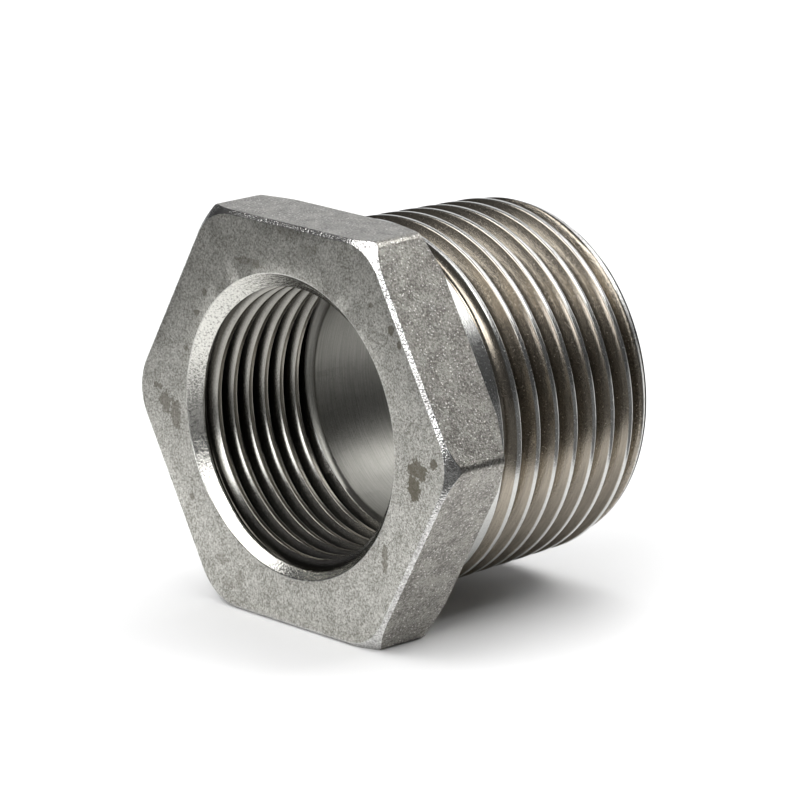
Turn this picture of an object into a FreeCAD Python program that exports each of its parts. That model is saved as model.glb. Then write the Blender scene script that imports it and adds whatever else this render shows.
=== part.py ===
import FreeCAD, Part
import os
import re
import Sketcher
from math import radians

# Reducing hex bushing in one piece: spanner hexagon, barrel with a tapered outside
# pipe thread, and a bore whose mouth takes the smaller inside thread.
# The axis runs along X, from the hexagon's face at x = 0 to the barrel's small end.

os.makedirs("parts", exist_ok=True)
doc = FreeCAD.newDocument("HexBushing")

# Driving dimensions, in millimetres, degrees and turns
SIZES = [
    ("AcrossFlats", 36.0, "hexagon across flats"),
    ("HexThickness", 6.9, "hexagon length along the axis"),
    ("CornerRadius", 0.7, "rounding of the hexagon's six long corners"),
    ("FaceBevel", 0.35, "45 degree bevel along the sides of the hexagon's face"),
    ("FaceCorner", 4.9, "radius of the six corners of the face inside the bevel"),
    ("BackRelief", 1.65, "how far the back chamfer comes in from the sharp corners"),
    ("BackAngle", 30.0, "turned back chamfer, measured from the back face"),
    ("TotalLength", 28.2, "overall length along the axis"),
    ("GaugeRadius", 16.3, "outside crest radius at the gauge plane"),
    ("GaugeLength", 10.4, "from the small end to the gauge plane"),
    ("TaperAngle", 1.7899, "half angle of the 1 in 16 taper"),
    ("EndChamfer", 0.55, "chamfer on the small end"),
    ("CollarLength", 4.37, "from the hexagon to the last full thread groove"),
    ("FlankAngle", 27.5, "thread flank to the radial line"),
    ("Pitch", 2.309, "outside thread, 11 turns to the inch"),
    ("CrestWidth", 0.42, "outside thread, land left at the crest"),
    ("RootWidth", 0.43, "outside thread, flat at the bottom of the groove"),
    ("RunoutTurns", 0.5, "part of a turn in which the groove fades out"),
    ("Overrun", 0.25, "how far the groove profile reaches past the crest"),
    ("BarrelWall", 2.9, "metal left between the outside thread's root and the bore"),
    ("ThreadedDepth", 13.0, "depth of the bore at that radius"),
    ("MouthChamfer", 1.5, "45 degree chamfer at the bore's mouth"),
    ("BoreStep", 0.3, "how much smaller the smooth bore behind it is in radius"),
    ("BoreChamfer", 0.4, "chamfer of the smooth bore at the small end"),
]
sheet = doc.addObject("Spreadsheet::Sheet", "Sizes")
for row, (name, size, meaning) in enumerate(SIZES, start=1):
    sheet.set("A%d" % row, meaning)
    sheet.set("B%d" % row, repr(size))
    sheet.setAlias("B%d" % row, name)
doc.recompute()

NAMES = re.compile(r"\b(%s)\b" % "|".join(name for name, size, meaning in SIZES))


def s(text):
    """Expression text in which every size name points at the sheet."""
    return NAMES.sub(r"Sizes.\1", text)


# The bushing lies on one flat of its hexagon, centred over the origin
body = doc.addObject("PartDesign::Body", "hex_bushing")
body.Label = "hex_bushing"
body.setExpression("Placement.Base.x", s("-TotalLength / 2"))
body.setExpression("Placement.Base.z", s("AcrossFlats / 2"))


def value(text):
    return float(body.evalExpression(s(text)))


def new_sketch(name, role):
    sketch = body.newObject("Sketcher::SketchObject", name)
    plane = next(o for o in body.Origin.OriginFeatures if o.Role == role)
    sketch.AttachmentSupport = [(plane, "")]
    sketch.MapMode = "FlatFace"
    return sketch


def fix(sketch, kind, *where):
    """Add one driven constraint: its geometry, then the expression that sets it."""
    *ends, text = where
    index = sketch.addConstraint(Sketcher.Constraint(kind, *ends, value(text)))
    sketch.setExpression("Constraints[%d]" % index, s(text))


def close_loop(sketch, corners, first=0):
    """Straight edges through the corners, joined end to start into a closed loop."""
    count = len(corners)
    for i in range(count):
        sketch.addGeometry(Part.LineSegment(corners[i], corners[(i + 1) % count]), False)
    for i in range(count):
        sketch.addConstraint(
            Sketcher.Constraint("Coincident", first + i, 2, first + (i + 1) % count, 1))


def outline(name, points):
    """Closed profile in the XZ plane; each corner is its two expressions, x and z."""
    sketch = new_sketch(name, "XZ_Plane")
    close_loop(sketch, [FreeCAD.Vector(value(x), value(z), 0) for x, z in points])
    for i, (x, z) in enumerate(points):
        fix(sketch, "DistanceX", -1, 1, i, 1, x)
        fix(sketch, "DistanceY", -1, 1, i, 1, z)
    return sketch


def turned(kind, name, profile):
    feature = body.newObject(kind, name)
    feature.Profile = profile
    feature.ReferenceAxis = (profile, ["H_Axis"])
    feature.Angle = 360
    return feature


def edges(shape, wanted):
    return ["Edge%d" % (i + 1) for i, edge in enumerate(shape.Edges) if wanted(edge)]


# Hexagon with two of its flats level: six equal sides on a construction circle
SHARP = "(AcrossFlats / 2 / cos(30))"
hex_sketch = new_sketch("HexSketch", "YZ_Plane")
hex_sketch.addGeometry(
    Part.Circle(FreeCAD.Vector(), FreeCAD.Vector(0, 0, 1), value(SHARP)), True)
close_loop(hex_sketch, [
    FreeCAD.Vector(value("%s * cos(%d)" % (SHARP, a)), value("%s * sin(%d)" % (SHARP, a)), 0)
    for a in range(0, 360, 60)], 1)
hex_sketch.addConstraint(Sketcher.Constraint("Coincident", 0, 3, -1, 1))
for side in range(1, 7):
    hex_sketch.addConstraint(Sketcher.Constraint("PointOnObject", side, 1, 0))
for side in range(2, 7):
    hex_sketch.addConstraint(Sketcher.Constraint("Equal", 1, side))
hex_sketch.addConstraint(Sketcher.Constraint("Horizontal", 2))
fix(hex_sketch, "DistanceY", -1, 1, 2, 1, "AcrossFlats / 2")

hexagon = body.newObject("PartDesign::Pad", "Hexagon")
hexagon.Profile = hex_sketch
hexagon.setExpression("Length", s("HexThickness"))
doc.recompute()

corners = body.newObject("PartDesign::Fillet", "RoundedCorners")
corners.Base = (hexagon, edges(hexagon.Shape, lambda e: e.BoundBox.XLength > 1e-6))
corners.setExpression("Radius", s("CornerRadius"))
doc.recompute()

# Bevel round the face: outside the face's own rounded outline everything is cut away at
# 45 degrees until it meets the hexagon, so the bevel widens at each corner
REACH = "((FaceBevel + FaceCorner) / cos(30) - FaceCorner)"
ARC_PLACE = "((AcrossFlats / 2 - FaceBevel - FaceCorner) / cos(30))"
normal = FreeCAD.Vector(0, 0, 1)
arcs = []
for a in range(0, 360, 60):
    middle = FreeCAD.Vector(value("%s * cos(%d)" % (ARC_PLACE, a)),
                            value("%s * sin(%d)" % (ARC_PLACE, a)), 0)
    arcs.append(Part.ArcOfCircle(Part.Circle(middle, normal, value("FaceCorner")),
                                 radians(a - 30), radians(a + 30)))
face_sketch = new_sketch("FaceSketch", "YZ_Plane")
for arc in arcs:
    face_sketch.addGeometry(arc, False)
for i in range(6):
    face_sketch.addGeometry(
        Part.LineSegment(arcs[i].EndPoint, arcs[(i + 1) % 6].StartPoint), False)
face_sketch.addGeometry(Part.Circle(FreeCAD.Vector(), normal, value(SHARP + " + 2 * " + REACH)),
                        False)
for i in range(6):
    face_sketch.addConstraint(Sketcher.Constraint("Tangent", i, 2, 6 + i, 1))
    face_sketch.addConstraint(Sketcher.Constraint("Tangent", 6 + i, 2, (i + 1) % 6, 1))
    fix(face_sketch, "DistanceX", -1, 1, i, 3, "%s * cos(%d)" % (ARC_PLACE, 60 * i))
    fix(face_sketch, "DistanceY", -1, 1, i, 3, "%s * sin(%d)" % (ARC_PLACE, 60 * i))
    if i:
        face_sketch.addConstraint(Sketcher.Constraint("Equal", 0, i))
fix(face_sketch, "Radius", 0, "FaceCorner")
face_sketch.addConstraint(Sketcher.Constraint("Coincident", 12, 3, -1, 1))
fix(face_sketch, "Radius", 12, SHARP + " + 2 * " + REACH)

bevel = body.newObject("PartDesign::Pocket", "FrontBevel")
bevel.Profile = face_sketch
bevel.setExpression("Length", s(REACH))
bevel.TaperAngle = 45
bevel.Reversed = True
doc.recompute()

# The hexagon's back corners are turned down when the barrel is
turned("PartDesign::Groove", "BackChamfer", outline("BackChamferSketch", [
    ("HexThickness", "%s - BackRelief" % SHARP),
    ("HexThickness", SHARP),
    ("HexThickness - BackRelief * tan(BackAngle)", SHARP),
]))

# Barrel, tapered towards its small end through the crest radius at the gauge plane
CREST = "(GaugeRadius + (TotalLength - GaugeLength - %s) * tan(TaperAngle))"
turned("PartDesign::Revolution", "Barrel", outline("BarrelSketch", [
    ("HexThickness", "0"),
    ("HexThickness", CREST % "HexThickness"),
    ("TotalLength - EndChamfer", CREST % "(TotalLength - EndChamfer)"),
    ("TotalLength", CREST % "TotalLength" + " - EndChamfer"),
    ("TotalLength", "0"),
]))

# Bore: mouth chamfer, threaded length, step down to the smooth bore and its end chamfer
DEPTH = "((Pitch - CrestWidth - RootWidth) / 2 / tan(FlankAngle))"
THREAD_BORE = "(GaugeRadius - %s - BarrelWall)" % DEPTH
turned("PartDesign::Groove", "Bore", outline("BoreSketch", [
    ("0", "0"),
    ("0", THREAD_BORE + " + MouthChamfer"),
    ("MouthChamfer", THREAD_BORE),
    ("ThreadedDepth", THREAD_BORE),
    ("ThreadedDepth + BoreStep", THREAD_BORE + " - BoreStep"),
    ("TotalLength - BoreChamfer", THREAD_BORE + " - BoreStep"),
    ("TotalLength", THREAD_BORE + " - BoreStep + BoreChamfer"),
    ("TotalLength", "0"),
]))
doc.recompute()

# Outside thread. Its groove is drawn below the axis, with an open top, two flanks and a
# flat root, at two places a whole number of turns apart: past the small end, and where the
# last full groove lies.
LAST = "(HexThickness + CollarLength)"
OPEN = "((Pitch - CrestWidth) / 2 + Overrun * tan(FlankAngle))"
TURNS = "ceil((TotalLength + %s - %s) / Pitch)" % (OPEN, LAST)


def groove(name, place):
    high = "-%s - Overrun" % (CREST % place)
    low = "-%s + %s" % (CREST % place, DEPTH)
    return outline(name, [
        ("%s - %s" % (place, OPEN), high),
        ("%s - RootWidth / 2" % place, low),
        ("%s + RootWidth / 2" % place, low),
        ("%s + %s" % (place, OPEN), high),
    ])


def helical_cut(name, profile, turns, cone_angle):
    """Right-hand helical cut from its profile towards the hexagon."""
    cut = body.newObject("PartDesign::SubtractiveHelix", name)
    cut.Profile = profile
    cut.ReferenceAxis = (profile, ["H_Axis"])
    cut.Mode = "pitch-turns-angle"
    cut.setExpression("Pitch", s("Pitch"))
    cut.setExpression("Turns", s(turns))
    cut.setExpression("Angle", s(cone_angle))
    cut.LeftHanded = False
    cut.Reversed = True
    cut.HasBeenEdited = True
    doc.recompute()
    return cut


helical_cut("TaperThread", groove("GrooveSketch", "(%s + %s * Pitch)" % (LAST, TURNS)),
            TURNS, "TaperAngle")
thread = helical_cut("ThreadRunout", groove("RunoutSketch", LAST), "RunoutTurns",
                     "atan((%s + Overrun) / (RunoutTurns * Pitch))" % DEPTH)
body.Tip = thread
doc.recompute()

for obj in doc.Objects:
    if "Invalid" in obj.State or "Error" in obj.State:
        raise RuntimeError("%s did not build" % obj.Name)
if body.Shape.isNull() or not body.Shape.isValid() or len(body.Shape.Solids) != 1:
    raise RuntimeError("the bushing is not one valid solid")
body.Shape.exportStep("parts/hex_bushing.step")
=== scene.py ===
import math
from dataclasses import dataclass
import bpy
import bmesh
import numpy as np
from mathutils import Matrix, Vector


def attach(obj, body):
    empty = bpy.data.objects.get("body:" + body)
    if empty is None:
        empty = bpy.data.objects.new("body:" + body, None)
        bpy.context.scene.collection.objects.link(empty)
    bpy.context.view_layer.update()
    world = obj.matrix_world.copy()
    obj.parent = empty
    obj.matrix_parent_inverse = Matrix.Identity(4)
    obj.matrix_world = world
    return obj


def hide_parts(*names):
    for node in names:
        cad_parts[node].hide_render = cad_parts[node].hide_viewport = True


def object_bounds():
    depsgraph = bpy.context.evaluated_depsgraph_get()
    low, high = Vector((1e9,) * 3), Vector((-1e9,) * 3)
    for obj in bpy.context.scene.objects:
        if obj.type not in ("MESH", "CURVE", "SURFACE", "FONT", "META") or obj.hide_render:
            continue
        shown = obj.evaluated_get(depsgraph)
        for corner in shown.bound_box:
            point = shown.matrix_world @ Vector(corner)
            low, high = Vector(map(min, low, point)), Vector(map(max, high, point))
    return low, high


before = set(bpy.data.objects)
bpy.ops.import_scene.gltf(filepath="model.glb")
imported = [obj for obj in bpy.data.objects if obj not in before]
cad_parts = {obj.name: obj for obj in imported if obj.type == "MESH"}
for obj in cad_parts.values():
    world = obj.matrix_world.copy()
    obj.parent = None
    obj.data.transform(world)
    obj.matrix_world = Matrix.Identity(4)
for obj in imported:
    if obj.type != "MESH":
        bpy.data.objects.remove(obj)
cad_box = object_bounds()

# Sizes in millimetres, as in the solid. X runs from the hexagon's face to the small end, and
# the length and the width across flats are read from the solid's own box.
MM = 0.001
low_corner, high_corner = cad_box
TOTAL_LENGTH = round((high_corner[0] - low_corner[0]) / MM, 3)
ACROSS_FLATS = round((high_corner[2] - low_corner[2]) / MM, 3)
MIDDLE = TOTAL_LENGTH / 2
AXIS_HEIGHT = ACROSS_FLATS / 2

# Hexagon: FACE_CORNER rounds the outline of the face, BACK_RELIEF is what the turned-down back
# takes off each corner, and the fillet joins the back to the collar
HEX_THICKNESS = 6.9
CORNER_RADIUS = 0.7
FACE_BEVEL = 0.35
FACE_CORNER = 4.9
BACK_RELIEF = 1.65
BACK_SLOPE = math.tan(math.radians(30.0))
NECK_FILLET = 0.16
NECK_FILLET_MIDDLE = 0.05
COS30 = math.cos(math.radians(30.0))

# Barrel: crest radius at the gauge plane, that plane's distance from the small end, and the
# shallow lead-in, which falls to END_CHAMFER below the crest
GAUGE_RADIUS = 16.3
GAUGE_LENGTH = 10.4
TAPER = math.tan(math.radians(1.7899))
END_CHAMFER = 0.55
END_SLOPE = 0.36

# Bore: crest radius and length of its thread, and the step down to the smooth bore
THREAD_BORE = 11.9986
THREADED_DEPTH = 13.0
BORE_STEP = 0.3
MOUTH_CHAMFER = 1.5
BORE_CHAMFER = 0.4
MOUTH_RADIUS = THREAD_BORE + MOUTH_CHAMFER
SMOOTH_RADIUS = THREAD_BORE - BORE_STEP

# Small forms that both threads share: the flank's angle, how far past the crest the tool has
# lifted when its fade is over, how many fades it goes on lifting for, the depth of a crest's
# worn edge as a part of its reach, and the reach of every other rounded edge
FLANK = math.radians(27.5)
OVERRUN = 0.25
TOOL_CLEAR = 1.4
CREST_WEAR = 0.29
EDGE = 0.07

# Where the mesh is sampled: columns round the axis and beside each corner (degrees), places
# across a crest's worn edge (parts of its reach) and round a groove's bottom (degrees), and
# distances from the small end and from the face where a chamfer cuts a thread
COLUMNS = 324
CORNER_COLUMNS = (0.4, 0.75, 1.15, 1.6)
CREST_SAMPLES = (-1.2, -0.25, 0.2, 0.9)
BOTTOM_SAMPLES = (-62.5, -31.0, 0.0, 31.0, 62.5)
END_SAMPLES = (1.6, 1.4, 1.25, 1.1, 0.9, 0.7, 0.5, 0.3, 0.1, 0.0)
MOUTH_SAMPLES = (1.65, 1.5, 1.3, 1.15, 1.0, 0.85, 0.7, 0.55, 0.4, 0.25)
MOUTH_EDGE = 1.2 * EDGE
JOIN_DISTANCE = 2e-7
SLIVER_LENGTH = 1e-7


@dataclass
class Thread:
    """A helical groove and its looks. Angles are in degrees, from +Y towards +Z."""
    side: int           # 1 outside the metal, -1 inside it
    pitch: float
    land: float         # width of the crest between two grooves
    worn: float         # reach of the rounding on a crest's edges
    root: float         # radius of the groove's bottom
    angle: float        # the groove's middle lies at X = place when it has turned this far
    place: float
    full: float         # the tool starts to lift here, and is clear after turning fade more
    fade: float
    turns: range        # turns of the helix that can reach the metal
    crest: float        # crest radius at the bushing's middle, and its fall along X
    taper: float
    end: float          # the chamfered end, from the bushing's middle: its radius and its slope
    end_radius: float
    end_slope: float
    crest_colour: tuple        # colour of the crest (a painted highlight on the outside thread), and of the chamfer
    chamfer: tuple
    groove_shade: tuple        # depths where painted shade starts and where it is full, and its cover there
    rim_shade: float     # width of the line of painted shade at the end

    @property
    def half(self):
        """Half the groove's width, at the crest."""
        return (self.pitch - self.land) / 2

    @property
    def depth(self):
        return ((self.half - self.root * math.cos(FLANK)) / math.tan(FLANK)
                + self.root * (1 - math.sin(FLANK)))

    def centre(self, turned):
        """X of the groove's middle when it has turned this far."""
        return self.place + self.pitch * (turned - self.angle) / 360

    def lift(self, turned):
        """How far the tool has left the metal, from nothing to clear of the crest."""
        gone = np.clip((turned - self.full) / self.fade, 0, TOOL_CLEAR)
        return gone * (self.depth + OVERRUN)

    def below(self, offset):
        """Depth of the groove under the crest at an offset from its middle."""
        offset = np.abs(offset)
        bottom = self.depth - self.root + np.sqrt(np.clip(self.root ** 2 - offset ** 2, 0, None))
        flank = (self.half - offset) / math.tan(FLANK)
        near_edge = np.clip(1 - np.abs(offset - self.half) / self.worn, 0, None)
        wear = CREST_WEAR * self.worn * near_edge ** 2
        return np.where(offset < self.root * math.cos(FLANK), bottom, np.maximum(flank, 0) + wear)

    def samples(self, theta, low, high):
        """X of every sample across the groove in each column, kept between two ends."""
        bottom = self.root * np.sin(np.radians(BOTTOM_SAMPLES))
        edge = self.worn * np.array(CREST_SAMPLES) - self.half
        offsets = np.concatenate([edge, bottom, -edge[::-1]])
        rows = [self.centre(theta + 360 * turn)[:, None] + offsets for turn in self.turns]
        return np.clip(np.concatenate(rows, axis=1), low, high)

    def cut(self, theta, x):
        """Depth of the thread at every X of each column."""
        depth = np.zeros_like(x)
        for turn in self.turns:
            turned = (theta + 360 * turn)[:, None]
            depth = np.maximum(depth, self.below(x - self.centre(turned)) - self.lift(turned))
        return depth


# Painted shade darkens each thread's groove towards its bottom, as set below
OUTSIDE = Thread(
    side=1, pitch=2.309, land=0.42, worn=0.09, root=0.35,
    angle=270.0, place=11.27, full=225.0, fade=-225.0, turns=range(-3, 10),
    crest=GAUGE_RADIUS + (MIDDLE - GAUGE_LENGTH) * TAPER, taper=TAPER,
    end=MIDDLE, end_radius=GAUGE_RADIUS - GAUGE_LENGTH * TAPER - END_CHAMFER, end_slope=END_SLOPE,
    # The outside crest colour is a painted highlight, much lighter than the flanks
    crest_colour=(0.62, 0.62, 0.60), chamfer=(0.72, 0.71, 0.68), groove_shade=(0.9, 1.5, 0.5), rim_shade=0.22)
INSIDE = Thread(
    side=-1, pitch=1.814, land=0.38, worn=0.045, root=0.25,
    angle=90.0, place=-1.52, full=2970.0, fade=180.0, turns=range(-2, 10),
    crest=THREAD_BORE, taper=0.0,
    end=-MIDDLE, end_radius=MOUTH_RADIUS, end_slope=1.0,
    crest_colour=(0.34, 0.32, 0.28), chamfer=(0.80, 0.79, 0.74), groove_shade=(0.2, 0.55, 0.93), rim_shade=0.0)


def crest(x):
    """Radius of the barrel's crest at X."""
    return GAUGE_RADIUS + (TOTAL_LENGTH - GAUGE_LENGTH - x) * TAPER


def from_corner(theta):
    """Angle to the nearest of the hexagon's corners, which are at 0, 60, 120 degrees."""
    return np.radians((theta + 30) % 60 - 30)


def hexagon_radius(apothem, radius, theta):
    """Distance from the axis to a hexagon with rounded corners."""
    phi = from_corner(theta)
    middle = (apothem - radius) / COS30
    arc = middle * np.cos(phi) + np.sqrt(
        np.clip(radius ** 2 - (middle * np.sin(phi)) ** 2, 0, None))
    flat = apothem / np.cos(math.radians(30) - np.abs(phi))
    limit = math.atan2(radius / 2, middle + radius * COS30)
    return np.where(np.abs(phi) < limit, arc, flat)


def beyond_face(radius, theta):
    """How far a point at this distance from the axis lies outside the face's outline."""
    phi = from_corner(theta)
    y, z = radius * np.cos(phi), np.abs(radius * np.sin(phi))
    apothem = AXIS_HEIGHT - FACE_BEVEL - FACE_CORNER
    middle = apothem / COS30
    past_corner = np.hypot(y - middle, z) - FACE_CORNER
    past_side = y * COS30 + z / 2 - apothem - FACE_CORNER
    in_corner = (np.arctan2(z, y - middle) < math.radians(30)) & (y > middle)
    return np.where(in_corner, past_corner, past_side)


def column_angles():
    """Columns round the axis, closer together at the hexagon's six corners."""
    even = np.arange(0, 360, 360 / COLUMNS)
    beside = np.array([-a for a in CORNER_COLUMNS] + list(CORNER_COLUMNS))
    corners = (np.arange(0, 360, 60)[:, None] + beside).ravel() % 360
    return np.append(np.unique(np.round(np.concatenate([even, corners]), 4)), 360.0)


class Profile:
    """Closed loop of points down every column: X, radius, and finish of the face that follows."""

    def __init__(self):
        self.theta = column_angles()
        self.loop = []

    def point(self, x, r, finish):
        every = np.zeros(len(self.theta))
        self.loop.append((x + every, r + every, finish))

    def strip(self, xs, rs, finish):
        for x, r in zip(xs.T, rs.T):
            self.point(x, r, finish)


def add_hexagon(profile):
    """Face, bevel, flats and turned-down back, with rounded edges about EDGE wide."""
    point, e = profile.point, EDGE
    half = math.sqrt(0.5) * e
    outline = hexagon_radius(AXIS_HEIGHT, CORNER_RADIUS, profile.theta)
    face = hexagon_radius(AXIS_HEIGHT - FACE_BEVEL, FACE_CORNER, profile.theta)
    bevel = beyond_face(outline, profile.theta)
    back_radius = AXIS_HEIGHT / COS30 - BACK_RELIEF
    turned_down = np.minimum(outline, back_radius)
    back = HEX_THICKNESS - np.clip(outline - back_radius, 0, None) * BACK_SLOPE

    point(e * 0.7, MOUTH_RADIUS - e * 0.7, "turned")
    point(e * 0.2, MOUTH_RADIUS - e * 0.1, "turned")
    point(0, MOUTH_RADIUS + e * 0.6, "face")
    for part in (0.35, 0.7):
        point(0, MOUTH_RADIUS + (face - MOUTH_RADIUS) * part, "face")
    point(0, face - e, "face")
    point(e * 0.2, face - e * 0.2 + half * 0.2, "bevel")
    point(half, face + half, "bevel")
    point(bevel - half, outline - half, "bevel")
    point(bevel - half * 0.2, outline - e * 0.15, "flat")
    point(bevel + e, outline, "flat")
    point((back + bevel) / 2, outline, "flat")
    point(back - e, outline, "flat")
    point(back - e * 0.1, outline - e * 0.15, "back")

    slope = np.minimum(outline - turned_down, e)
    after_edge = np.where(outline > turned_down, outline - slope, outline - e / 2)
    point(np.minimum(back + slope * BACK_SLOPE, HEX_THICKNESS), after_edge, "back")
    point(HEX_THICKNESS, np.minimum(turned_down, outline - e), "back")
    collar = crest(HEX_THICKNESS)
    point(HEX_THICKNESS, collar + NECK_FILLET, "back")
    point(HEX_THICKNESS + NECK_FILLET_MIDDLE, collar + NECK_FILLET_MIDDLE, "turned")


def add_barrel(profile):
    """Collar and outside thread, cut by the lead-in, then the small end's flat face."""
    point, e = profile.point, EDGE
    start = HEX_THICKNESS + NECK_FILLET
    tip = crest(TOTAL_LENGTH) - END_CHAMFER
    at_end = np.tile(TOTAL_LENGTH - np.array(END_SAMPLES), (len(profile.theta), 1))
    xs = np.concatenate([OUTSIDE.samples(profile.theta, start, TOTAL_LENGTH), at_end], axis=1)
    xs.sort(axis=1)
    rs = crest(xs) - OUTSIDE.cut(profile.theta, xs)
    rs = np.minimum(rs, tip + (TOTAL_LENGTH - xs) * END_SLOPE)
    profile.strip(xs, rs, "thread")

    chamfer = SMOOTH_RADIUS + BORE_CHAMFER
    point(TOTAL_LENGTH, np.minimum(rs[:, -1], tip) - e, "turned")
    point(TOTAL_LENGTH, chamfer + e, "turned")
    point(TOTAL_LENGTH - e * 0.3, chamfer - e * 0.1, "turned")
    point(TOTAL_LENGTH - BORE_CHAMFER + e * 0.5, SMOOTH_RADIUS + e * 0.4, "turned")


def add_bore(profile):
    """Smooth bore, its step, and the inside thread out to the chamfered mouth."""
    point, e = profile.point, EDGE
    start = TOTAL_LENGTH - BORE_CHAMFER
    step = THREADED_DEPTH + BORE_STEP
    point(start - e, SMOOTH_RADIUS, "bore")
    for part in (0.66, 0.33):
        point(step + (start - step) * part, SMOOTH_RADIUS, "bore")
    point(step + e * 4, SMOOTH_RADIUS, "bore")
    point(step + e, SMOOTH_RADIUS + e * 0.3, "bore")

    at_mouth = np.tile(MOUTH_SAMPLES + (MOUTH_EDGE,), (len(profile.theta), 1))
    xs = np.concatenate([INSIDE.samples(profile.theta, MOUTH_EDGE, THREADED_DEPTH), at_mouth],
                        axis=1)
    xs = np.sort(xs, axis=1)[:, ::-1]
    rs = np.maximum(THREAD_BORE + INSIDE.cut(profile.theta, xs), MOUTH_RADIUS - xs)
    profile.strip(xs, rs, "inside")


FINISHES = ["face", "flat", "bevel", "back", "turned", "thread", "inside", "bore"]


def bushing_mesh():
    """The whole skin: one loop of points per column, joined round the axis."""
    profile = Profile()
    add_hexagon(profile)
    add_barrel(profile)
    add_bore(profile)
    xs, rs, finishes = zip(*profile.loop)
    x = np.stack(xs, axis=1) - MIDDLE
    r = np.stack(rs, axis=1)
    turn = np.radians(profile.theta)[:, None]
    verts = np.stack([x, r * np.cos(turn), r * np.sin(turn) + AXIS_HEIGHT], axis=2) * MM
    columns, rows = x.shape
    index = np.arange(columns * rows).reshape(columns, rows)
    here, there = index[:-1], index[1:]
    quads = np.stack([here, np.roll(here, -1, axis=1), np.roll(there, -1, axis=1), there], axis=2)

    mesh = bpy.data.meshes.new("hex_bushing_skin")
    mesh.from_pydata(verts.reshape(-1, 3).tolist(), [], quads.reshape(-1, 4).tolist())
    slots = np.array([FINISHES.index(finish) for finish in finishes])
    mesh.polygons.foreach_set("material_index", np.tile(slots, columns - 1))
    bm = bmesh.new()
    bm.from_mesh(mesh)
    bmesh.ops.remove_doubles(bm, verts=bm.verts, dist=JOIN_DISTANCE)
    bmesh.ops.dissolve_degenerate(bm, dist=SLIVER_LENGTH, edges=bm.edges)
    bmesh.ops.recalc_face_normals(bm, faces=bm.faces)
    for face in bm.faces:
        face.smooth = True
    bm.to_mesh(mesh)
    bm.free()
    return mesh


# Dried marks on the face: across and up from the axis, half width, half height, how dark
STAINS = [
    (16.45, -0.8, 0.82, 0.93, 0.62),
    (14.96, -1.71, 0.77, 1.44, 0.58),
    (17.11, 0.45, 0.31, 0.31, 0.6),
    (17.65, 0.53, 0.26, 0.26, 0.6),
    (-0.39, 17.27, 1.65, 0.51, 0.3),
    (-2.93, 16.21, 1.03, 0.46, 0.3),
    (4.81, 13.83, 1.75, 0.41, 0.45),
    (-16.28, -0.53, 1.34, 0.82, 0.8),
    (-15.92, -2.06, 0.72, 1.34, 0.85),
    (-18.36, 0.33, 0.41, 0.51, 0.8),
    (-12.2, -9.08, 0.36, 1.34, 0.6),
    (8.19, -15.73, 1.23, 0.51, 0.25),
    (-13.12, 11.05, 0.36, 0.41, 0.7),
    (-14.1, 9.93, 0.31, 0.36, 0.7),
    (-10.67, 12.76, 0.26, 0.26, 0.6),
    (10.81, 10.1, 0.31, 0.36, 0.6),
    (11.92, 8.09, 0.36, 0.31, 0.6),
    (12.55, 3.8, 0.26, 0.36, 0.5),
    (13.47, 4.63, 0.26, 0.26, 0.5),
    (13.0, -8.8, 0.3, 0.36, 0.5),
    (9.1, -13.7, 0.9, 0.45, 0.35),
    (6.7, -15.0, 0.5, 0.85, 0.35),
]


class Nodes:
    """Small helper that adds nodes to one material or world and links them."""

    def __init__(self, owner):
        owner.use_nodes = True
        self.tree = owner.node_tree
        self.tree.nodes.clear()

    def add(self, kind, out=0, **values):
        """Add a node. A keyword is a property, an input's name, or i and an input's number."""
        node = self.tree.nodes.new("ShaderNode" + kind)
        for name, item in values.items():
            if hasattr(node, name):
                setattr(node, name, item)
                continue
            numbered = name[0] == "i" and name[1:].isdigit()
            socket = node.inputs[int(name[1:]) if numbered else name.replace("_", " ")]
            if isinstance(item, bpy.types.NodeSocket):
                self.tree.links.new(item, socket)
            else:
                socket.default_value = item
        return node.outputs[out] if len(node.outputs) > out else None

    def math(self, operation, *items):
        return self.add("Math", operation=operation, **{"i%d" % k: v for k, v in enumerate(items)})

    def vector(self, operation, first, second):
        return self.add("VectorMath", operation=operation, i0=first, i1=second)

    def length(self, item):
        return self.add("VectorMath", out=1, operation="LENGTH", i0=item)

    def span(self, item, low, high, to_low=0.0, to_high=1.0):
        return self.add("MapRange", i0=item, i1=low, i2=high, i3=to_low, i4=to_high)

    def noise(self, place, scale, detail, rough):
        return self.add("TexNoise", Vector=place, Scale=scale, Detail=detail, Roughness=rough)

    def cells(self, place, scale):
        """Distance to the nearest of many scattered points."""
        return self.add("TexVoronoi", Vector=place, Scale=scale, Randomness=1.0)

    def mix(self, amount, first, second):
        return self.add("Mix", out=2, data_type="RGBA", i0=amount, i6=first, i7=second)


def rgb(red, green, blue, times=1.0):
    return (red * times, green * times, blue * times, 1.0)


WHITE = rgb(1.0, 1.0, 1.0)
BLACK = rgb(0.0, 0.0, 0.0)
STAIN = rgb(0.12, 0.105, 0.075)
PIT = rgb(0.2, 0.19, 0.165)
GLINT = rgb(0.97, 0.96, 0.93)
# Painted shade at the bottom of a thread's groove
GROOVE_SHADE = rgb(0.035, 0.032, 0.026)
TORN_METAL = rgb(0.16, 0.155, 0.14)
# Painted shade for the line at the barrel's small end
RIM_SHADE = rgb(0.04, 0.038, 0.03)

# Widths in millimetres over which one colour of a thread turns into the next
CHAMFER_BLEND = 0.04
RIM_BLEND = 0.06


def start_material(name):
    """New material, its nodes, and the place on the bushing in millimetres."""
    material = bpy.data.materials.new(name)
    n = Nodes(material)
    place = n.add("VectorMath", operation="SCALE", i0=n.add("TexCoord", out=3), Scale=1 / MM)
    return material, n, place


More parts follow.
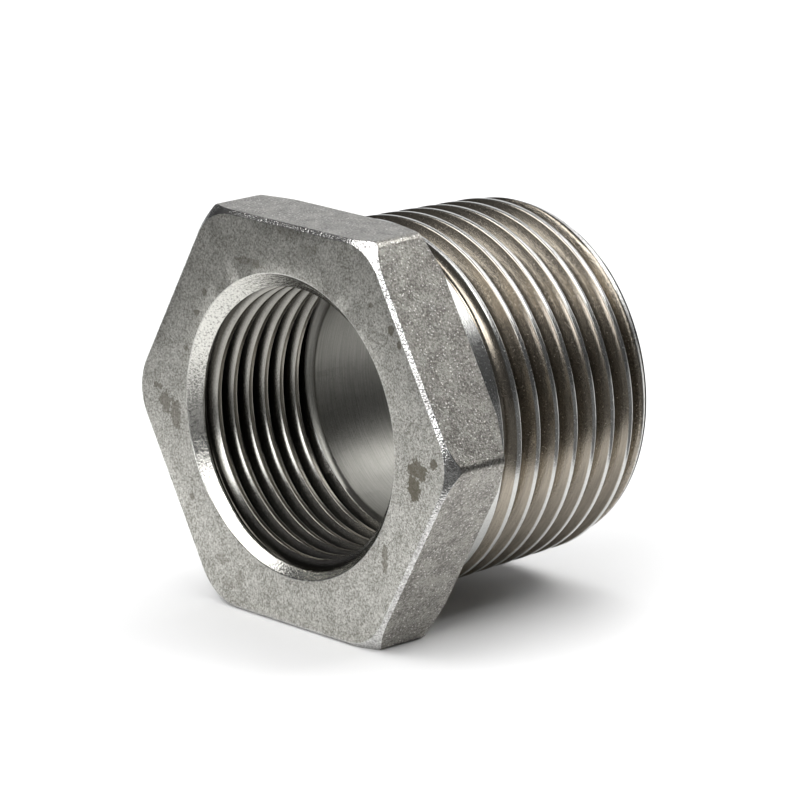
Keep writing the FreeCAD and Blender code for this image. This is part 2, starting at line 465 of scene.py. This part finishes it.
def finish_metal(material, n, colour, rough, height, strength, distance, edge_tint=WHITE):
    bump = n.add("Bump", Height=height, Strength=strength, Distance=distance)
    shader = n.add("BsdfPrincipled", Base_Color=colour, Metallic=1.0, Roughness=rough,
                   Specular_Tint=edge_tint, Normal=bump)
    n.add("OutputMaterial", Surface=shader)
    return material


def stain_cover(n, place):
    """How much of the face's dried marks lies at a place, from 0 to 1, with ragged outlines."""
    ragged = n.noise(place, scale=1.7, detail=4.0, rough=0.65)
    cover = 0.0
    for y, z, wide, high, strength in STAINS:
        offset = n.vector("SUBTRACT", place, (0.0, y, z + AXIS_HEIGHT))
        offset = n.vector("MULTIPLY", offset, (0.0, 1 / wide, 1 / high))
        distance = n.math("SUBTRACT", n.length(offset), 1.2)
        distance = n.math("MULTIPLY_ADD", ragged, 2.4, distance)
        cover = n.math("MAXIMUM", cover, n.span(distance, 1.05, 0.9, 0.0, strength))
    return cover


def face_metal(name):
    """Cast face, lightly ground: cool grey with a fine speckle, pits and its dried marks."""
    material, n, place = start_material(name)
    fine = n.noise(place, scale=6.0, detail=5.0, rough=0.8)
    broad = n.noise(place, scale=0.5, detail=4.0, rough=0.6)
    tone = n.math("MULTIPLY_ADD", broad, 0.15, n.math("MULTIPLY", fine, 0.85))
    colour = n.mix(n.span(tone, 0.41, 0.59), rgb(0.225, 0.218, 0.188), rgb(0.72, 0.712, 0.672))
    pits = n.noise(place, scale=2.6, detail=2.0, rough=0.5)
    colour = n.mix(n.span(pits, 0.60, 0.68, 0.0, 0.45), colour, PIT)
    colour = n.mix(stain_cover(n, place), colour, STAIN)
    rough = n.span(fine, 0.3, 0.7, 0.46, 0.34)
    return finish_metal(material, n, colour, rough, fine, strength=0.35, distance=0.00005)


def cast_metal(name, dark, light, rough, grain, distance):
    """Blasted casting: packed grains, with bright dots painted into the colour as glints."""
    material, n, place = start_material(name)
    grains = n.math("POWER", n.cells(place, grain), 2.0)
    fine = n.noise(place, scale=5.0, detail=4.0, rough=0.7)
    height = n.math("MULTIPLY_ADD", grains, -1.5, n.math("MULTIPLY", fine, 0.8))
    broad = n.noise(place, scale=0.7, detail=2.0, rough=0.5)
    tone = n.math("MULTIPLY_ADD", broad, 0.25, n.math("MULTIPLY", fine, 0.75))
    colour = n.mix(n.span(tone, 0.42, 0.58), rgb(*dark), rgb(*light))
    # Painted glints: bright dots in the colour that stand in for light caught by single grains
    glints = n.cells(place, 2.8)
    colour = n.mix(n.span(glints, 0.14, 0.22, 0.85, 0.0), colour, GLINT)
    return finish_metal(material, n, colour, rough, height, strength=0.9, distance=distance)


def below_crest(n, place, thread):
    """How deep a place lies in a thread's groove, and how far past the corner where its
    chamfer starts, both in millimetres of radius."""
    offset = n.vector("SUBTRACT", place, (0.0, 0.0, AXIS_HEIGHT))
    offset = n.vector("MULTIPLY", offset, (0.0, 1.0, 1.0))
    radius = n.length(offset)
    along = n.add("SeparateXYZ", Vector=place)
    crest_here = n.math("MULTIPLY_ADD", along, -thread.taper, thread.crest)
    chamfer_here = n.math("MULTIPLY_ADD", along, -thread.end_slope,
                          thread.end_radius + thread.end * thread.end_slope)
    surface = n.math("MINIMUM" if thread.side > 0 else "MAXIMUM", crest_here, chamfer_here)
    past_corner = n.math("MULTIPLY", n.math("SUBTRACT", crest_here, chamfer_here), thread.side)
    return n.math("MULTIPLY", n.math("SUBTRACT", surface, radius), thread.side), past_corner


def turned_metal(name, colour, rough, strength, specks, thread=None):
    """Machined surface: tool rings and dark specks. A thread has a crest colour, on the outside a
    painted highlight, painted shade at the bottom of its groove, a torn chamfer and, where it has
    one, a line of painted shade at its end."""
    material, n, place = start_material(name)
    rings = n.noise(n.vector("MULTIPLY", place, (10.0, 0.3, 0.3)), scale=1.0, detail=3.0, rough=0.6)
    speck = n.noise(place, scale=5.0, detail=3.0, rough=0.7)
    shade = n.mix(n.span(rings, 0.3, 0.7), rgb(*colour, times=0.7), rgb(*colour))
    height = n.math("MULTIPLY_ADD", speck, 0.8, n.math("MULTIPLY", rings, 0.5))
    edge_tint = WHITE
    if thread:
        under, past_corner = below_crest(n, place, thread)
        in_chamfer = n.span(past_corner, 0.0, CHAMFER_BLEND)
        # Crest colour: on the outside thread a painted highlight
        top = n.mix(in_chamfer, rgb(*thread.crest_colour), rgb(*thread.chamfer))
        shade = n.mix(n.span(under, 0.02, 0.08), top, shade)
        # Painted shade: the groove darkens from the set depth down to its bottom
        ragged_depth = n.math("MULTIPLY_ADD", speck, 0.3, n.math("SUBTRACT", under, 0.15))
        shade_start, shade_full, cover = thread.groove_shade
        shade = n.mix(n.span(ragged_depth, shade_start, shade_full, 0.0, cover), shade, GROOVE_SHADE)
        height = n.math("MULTIPLY", height, n.span(past_corner, 0.0, CHAMFER_BLEND, 1.0, 4.0))
    shade = n.mix(n.span(speck, 0.55, 0.72, 0.0, specks), shade, rgb(*colour, times=0.35))
    if thread:
        torn = n.math("MULTIPLY", in_chamfer, n.span(speck, 0.52, 0.6, 0.0, 0.6))
        shade = n.mix(torn, shade, TORN_METAL)
    # Painted shade: a dark line at the small end, with its edge reflection turned off too
    if thread and thread.rim_shade:
        rim_start = thread.end - thread.rim_shade
        rim = n.span(n.add("SeparateXYZ", Vector=place), rim_start - RIM_BLEND, rim_start)
        shade = n.mix(rim, shade, RIM_SHADE)
        edge_tint = n.mix(rim, WHITE, BLACK)
    rough_here = n.span(speck, 0.3, 0.7, rough + 0.06, rough - 0.04)
    return finish_metal(material, n, shade, rough_here, height, strength, 0.00003, edge_tint)


materials = {
    "face": face_metal("stainless_face"),
    "flat": cast_metal("stainless_flat", dark=(0.17, 0.16, 0.145), light=(0.47, 0.455, 0.415),
                       rough=0.32, grain=9.0, distance=0.000018),
    "bevel": cast_metal("stainless_bevel", dark=(0.35, 0.34, 0.33), light=(0.75, 0.75, 0.73),
                        rough=0.22, grain=5.5, distance=0.00002),
    "back": cast_metal("stainless_back", dark=(0.45, 0.42, 0.37), light=(0.65, 0.61, 0.54),
                       rough=0.22, grain=4.5, distance=0.00001),
    "turned": turned_metal("stainless_turned", colour=(0.66, 0.65, 0.61),
                           rough=0.24, strength=0.5, specks=0.5),
    "thread": turned_metal("stainless_thread", colour=(0.42, 0.375, 0.31),
                           rough=0.22, strength=0.3, specks=0.5, thread=OUTSIDE),
    "inside": turned_metal("stainless_inside", colour=(0.38, 0.37, 0.34),
                           rough=0.2, strength=0.3, specks=0.4, thread=INSIDE),
    "bore": turned_metal("stainless_bore", colour=(0.30, 0.295, 0.27),
                         rough=0.38, strength=0.5, specks=0.4),
}


def add_object(name, data):
    obj = bpy.data.objects.new(name, data)
    bpy.context.scene.collection.objects.link(obj)
    return obj


piece = add_object("hex_bushing_skin", bushing_mesh())
for finish in FINISHES:
    piece.data.materials.append(materials[finish])

# Large faces lead the shading, so that the flats stay flat beside their rounded edges
even_shading = piece.modifiers.new("even_shading", "WEIGHTED_NORMAL")
even_shading.mode = "FACE_AREA"
even_shading.weight = 60
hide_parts("hex_bushing")
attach(piece, "root")


def staged(name, verts, faces, grey):
    """Dull grey mesh, used for the floor and the dark cards."""
    mesh = bpy.data.meshes.new(name)
    mesh.from_pydata(verts, [], faces)
    material = bpy.data.materials.new(name)
    n = Nodes(material)
    shader = n.add("BsdfPrincipled", Base_Color=rgb(grey, grey, grey), Roughness=0.9)
    n.add("OutputMaterial", Surface=shader)
    mesh.materials.append(material)
    obj = add_object(name, mesh)
    return obj


# The studio's own sizes and places are in metres
FLOOR_REACH = 3.0
CARD_HEIGHT = 0.0005
CARD_STEPS = 24


def add_floor():
    ends = (-FLOOR_REACH, FLOOR_REACH)
    verts = [(x, y, 0.0) for y in ends for x in ends]
    staged("floor", verts, [(0, 1, 3, 2)], grey=0.8)


def add_dark_card(name, inner, first, last, outer=0.6):
    """Dark ring sector on the floor round the bushing that shows only in the metal."""
    verts = []
    for k in range(CARD_STEPS + 1):
        angle = math.radians(first + (last - first) * k / CARD_STEPS)
        for radius in (inner, outer):
            verts.append((radius * math.cos(angle), radius * math.sin(angle), CARD_HEIGHT))
    faces = [(2 * k, 2 * k + 1, 2 * k + 3, 2 * k + 2) for k in range(CARD_STEPS)]
    card = staged(name, verts, faces, grey=0.08)
    card.visible_camera = card.visible_diffuse = card.visible_shadow = False


def aimed(z_axis, x_axis):
    """Rotation whose Z is z_axis and whose X is as near to x_axis as it can be."""
    z = Vector(z_axis).normalized()
    y = z.cross(Vector(x_axis)).normalized()
    return Matrix((y.cross(z), y, z)).transposed()


def soft_box(name, towards, along, distance, length, width, radiance):
    """Rectangular light that faces the bushing, its length laid along one direction."""
    light = bpy.data.lights.new(name, "AREA")
    light.shape = "RECTANGLE"
    light.size, light.size_y = length, width
    light.energy = radiance * math.pi * length * width
    lamp = add_object(name, light)
    place = Vector((0, 0, AXIS_HEIGHT * MM)) + Vector(towards).normalized() * distance
    lamp.matrix_world = Matrix.Translation(place) @ aimed(towards, along).to_4x4()
    return lamp


add_floor()
add_dark_card("front_card", inner=0.036, first=190, last=330)
add_dark_card("left_card", inner=0.085, first=100, last=190)
soft_box("key_light", towards=(-0.66, -0.06, 0.75), along=(0.37, 0.92, 0.16),
         distance=0.6, length=0.85, width=0.24, radiance=5.0)
soft_box("flank_light", towards=(0.43, -0.42, 0.80), along=(1.0, 0.0, 0.0),
         distance=0.8, length=0.26, width=0.26, radiance=9.0)
soft_box("side_light", towards=(0.64, -0.088, 0.764), along=(0.0, 0.993, 0.115),
         distance=0.8, length=0.8, width=0.16, radiance=3.2)
table_light = soft_box("table_light", towards=(0.1, 0.15, 1.0), along=(1.0, 0.0, 0.0),
                       distance=0.7, length=0.7, width=0.7, radiance=3.0)
table_light.visible_glossy = False

# Soft patches of light in the room: direction, degrees to the inner and outer edge, strength
ROOM_STRENGTH = 0.07
ROOM_PATCHES = [
    ((0.64, 0.72, 0.27), 12, 28, 0.9),
    ((0.925, 0.17, 0.32), 10, 17, 2.6),
    ((-0.984, -0.03, 0.17), 4, 11, 9.0),
]


def studio_room():
    """Dim room with the patches that the metal reflects."""
    world = bpy.data.worlds.new("studio")
    bpy.context.scene.world = world
    n = Nodes(world)
    towards = n.add("TexCoord")
    strength = ROOM_STRENGTH
    for direction, inner, outer, peak in ROOM_PATCHES:
        facing = n.add("VectorMath", out=1, operation="DOT_PRODUCT", i0=towards,
                       i1=Vector(direction).normalized())
        patch = n.add("MapRange", interpolation_type="SMOOTHSTEP", i0=facing,
                      i1=math.cos(math.radians(outer)), i2=math.cos(math.radians(inner)),
                      i3=0.0, i4=peak)
        strength = n.math("ADD", patch, strength)
    background = n.add("Background", Color=rgb(0.97, 0.98, 1.0), Strength=strength)
    n.add("OutputWorld", Surface=background)


studio_room()

# Camera as fitted to the photograph: millimetres from the middle of the base, degrees, and the
# lens for a sensor 36 mm wide
CAMERA_PLACE = (-308.005, -334.225, 139.603)
CAMERA_TURN, CAMERA_TILT, CAMERA_ROLL = -42.5677, 75.0024, -0.4204
CAMERA_LENS = 240.903


def add_camera():
    data = bpy.data.cameras.new("camera")
    data.sensor_width = 36.0
    data.lens = CAMERA_LENS
    data.clip_start = 0.01
    camera = add_object("camera", data)
    turn, tilt, roll = (Matrix.Rotation(math.radians(angle), 4, axis) for angle, axis in (
        (CAMERA_TURN, "Z"), (CAMERA_TILT, "X"), (CAMERA_ROLL, "Z")))
    camera.matrix_world = Matrix.Translation(Vector(CAMERA_PLACE) * MM) @ turn @ tilt @ roll
    bpy.context.scene.camera = camera


add_camera()
bpy.context.scene.view_settings.view_transform = "Standard"
